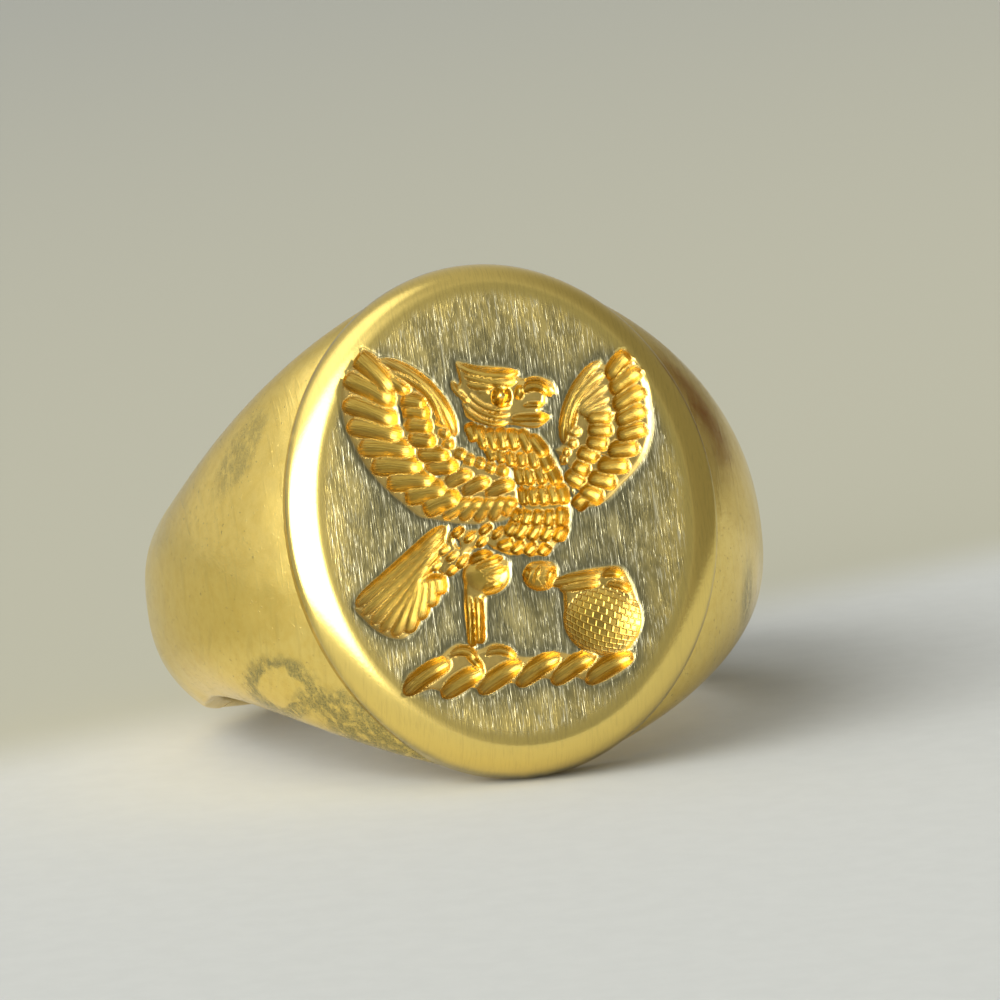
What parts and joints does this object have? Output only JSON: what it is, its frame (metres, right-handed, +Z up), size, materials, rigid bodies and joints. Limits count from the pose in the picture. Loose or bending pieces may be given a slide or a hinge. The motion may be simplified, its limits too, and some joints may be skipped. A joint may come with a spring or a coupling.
{
  "type": "signet ring",
  "caption": "Yellow gold signet ring: oval table cut with a bird crest, flared shoulders, half-round shank and soldered joints.",
  "frame": {"origin": "middle of the bounding box on the surface z = 0, on which the ring lies as it rests by itself", "axes": "+Z up from the surface, -Y out of the side that the engraved face looks to, +X to the right of someone who faces it; the finger axis leans back 18.5 degrees from +Z towards +Y"},
  "size_m": [0.0208, 0.0224, 0.0165],
  "materials": {
    "brushed_gold": "yellow gold, finely scratched flat with deep gold cuts",
    "polished_gold": "yellow gold, worn polish",
    "solder_gold": "hard gold solder, filed flush"
  },
  "bodies": {
    "root": {"signet_table": "brushed_gold", "table_solder": "solder_gold", "shoulders": "polished_gold", "back_shank": "polished_gold", "left_shank_solder": "solder_gold", "right_shank_solder": "solder_gold"}
  },
  "joints": []
}
